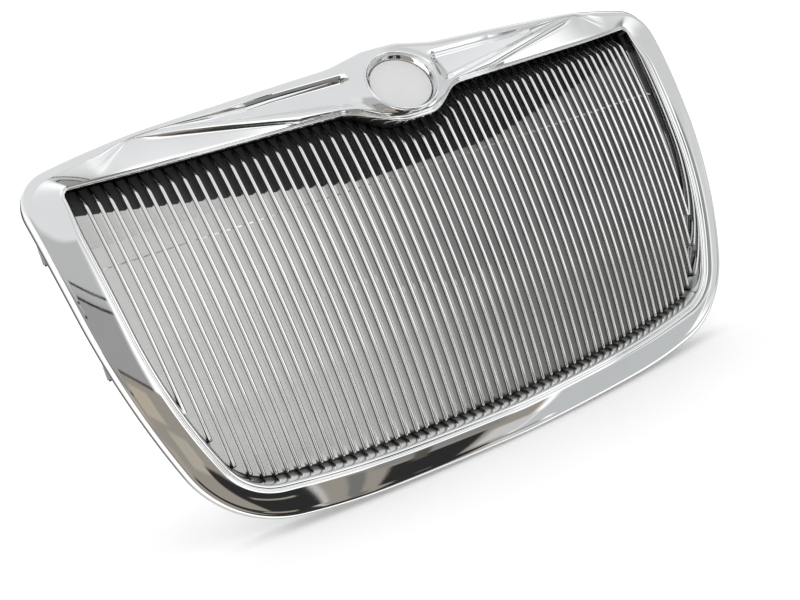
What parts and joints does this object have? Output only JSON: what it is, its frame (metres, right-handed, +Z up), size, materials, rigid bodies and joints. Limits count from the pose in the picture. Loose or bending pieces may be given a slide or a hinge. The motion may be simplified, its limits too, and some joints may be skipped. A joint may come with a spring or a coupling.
{
  "type": "front grille",
  "caption": "Chromed front grille: a wide rounded surround with a winged round badge pod, filled with fine vertical bars and clamped by a rear carrier with push rivets.",
  "frame": {"origin": "the centre of the whole grille's bounding box, on the car's centreline", "axes": "+X to the right as one faces the grille, -Y forward out of the grille, +Z up as fitted to the car"},
  "size_m": [0.8764, 0.1902, 0.4758],
  "materials": {
    "chrome_plate": "bright decorative chrome plate on moulded plastic",
    "carrier_black": "fine-grained black moulded plastic",
    "badge_grey": "plain light grey satin disc, left blank",
    "foam_black": "closed-cell adhesive foam",
    "zinc_steel": "zinc-plated steel",
    "nylon_black": "black nylon",
    "nylon_grey": "dark grey nylon",
    "rubber_black": "matte black rubber"
  },
  "bodies": {
    "grille": {"badge_bezel": "chrome_plate", "badge_disc": "badge_grey", "badge_foam_pad": "foam_black", "badge_push_nut_left": "zinc_steel", "badge_push_nut_right": "zinc_steel", "bar_insert": "chrome_plate", "carrier_screw_bottom_inner_left": "zinc_steel", "carrier_screw_bottom_inner_right": "zinc_steel", "carrier_screw_bottom_outer_left": "zinc_steel", "carrier_screw_bottom_outer_right": "zinc_steel", "carrier_screw_side_lower_left": "zinc_steel", "carrier_screw_side_lower_right": "zinc_steel", "carrier_screw_side_upper_left": "zinc_steel", "carrier_screw_side_upper_right": "zinc_steel", "carrier_screw_top_inner_left": "zinc_steel", "carrier_screw_top_inner_right": "zinc_steel", "carrier_screw_top_middle_left": "zinc_steel", "carrier_screw_top_middle_right": "zinc_steel", "carrier_screw_top_outer_left": "zinc_steel", "carrier_screw_top_outer_right": "zinc_steel", "lower_bush_left": "rubber_black", "lower_bush_right": "rubber_black", "push_rivet_body_inner_left": "nylon_black", "push_rivet_body_inner_right": "nylon_black", "push_rivet_body_outer_left": "nylon_black", "push_rivet_body_outer_right": "nylon_black", "rear_carrier": "carrier_black", "side_spring_clip_lower_left": "zinc_steel", "side_spring_clip_lower_right": "zinc_steel", "side_spring_clip_upper_left": "zinc_steel", "side_spring_clip_upper_right": "zinc_steel", "surround_shell": "chrome_plate"},
    "pin_inner_left": {"push_rivet_pin_inner_left": "nylon_grey"},
    "pin_inner_right": {"push_rivet_pin_inner_right": "nylon_grey"},
    "pin_outer_left": {"push_rivet_pin_outer_left": "nylon_grey"},
    "pin_outer_right": {"push_rivet_pin_outer_right": "nylon_grey"}
  },
  "joints": [
    {"name": "pin_slide_inner_left", "type": "slide", "parent": "grille", "child": "pin_inner_left", "axis": [0, 0, 1], "range_m": [0, 0.008]},
    {"name": "pin_slide_inner_right", "type": "slide", "parent": "grille", "child": "pin_inner_right", "axis": [0, 0, 1], "range_m": [0, 0.008]},
    {"name": "pin_slide_outer_left", "type": "slide", "parent": "grille", "child": "pin_outer_left", "axis": [0, 0, 1], "range_m": [0, 0.008]},
    {"name": "pin_slide_outer_right", "type": "slide", "parent": "grille", "child": "pin_outer_right", "axis": [0, 0, 1], "range_m": [0, 0.008]}
  ]
}
